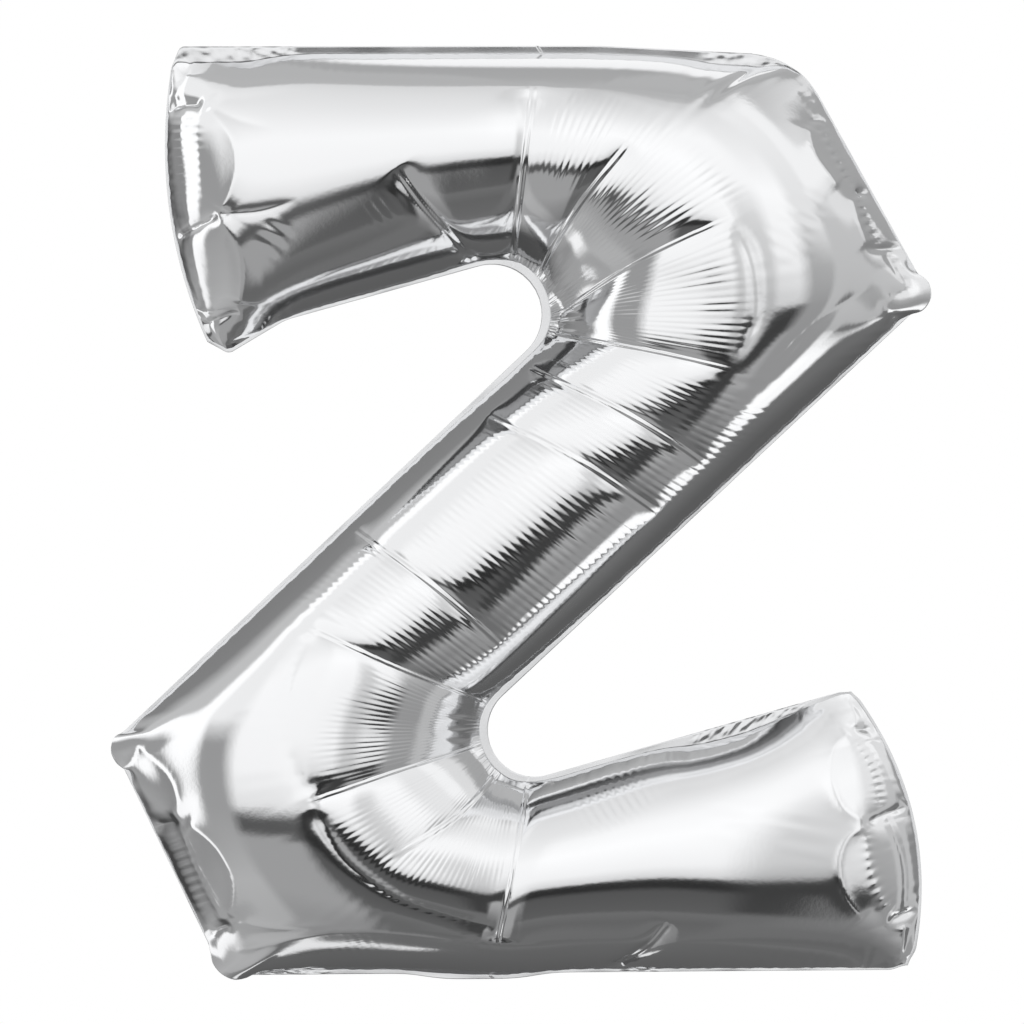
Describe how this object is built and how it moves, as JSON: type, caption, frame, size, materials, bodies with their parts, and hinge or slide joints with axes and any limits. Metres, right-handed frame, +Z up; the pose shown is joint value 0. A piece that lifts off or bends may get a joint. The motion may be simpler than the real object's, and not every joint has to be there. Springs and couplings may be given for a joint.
{
  "type": "letter z foil balloon",
  "caption": "Inflated mirror-foil balloon in the shape of the letter Z, with a sealed border, hanging tabs and a folded filling neck.",
  "frame": {"origin": "middle of the letter, on the plane of its sealed border, held in the air", "axes": "+Z up the letter, +X to the right of its front, and the front faces -Y"},
  "size_m": [0.7483, 0.225, 0.8544],
  "materials": {
    "mirror_foil": "mirror-coated film, wrinkled",
    "sealed_border": "satin, heat-sealed film",
    "clear_film": "thin flexible film"
  },
  "bodies": {
    "root": {"front_foil_sheet": "mirror_foil", "back_foil_sheet": "mirror_foil", "perimeter_seal_band": "sealed_border", "neck_inner_ply": "mirror_foil", "valve_film": "clear_film", "neck_outer_ply": "mirror_foil", "hang_tab_left": "sealed_border", "hang_tab_right": "sealed_border"}
  },
  "joints": []
}
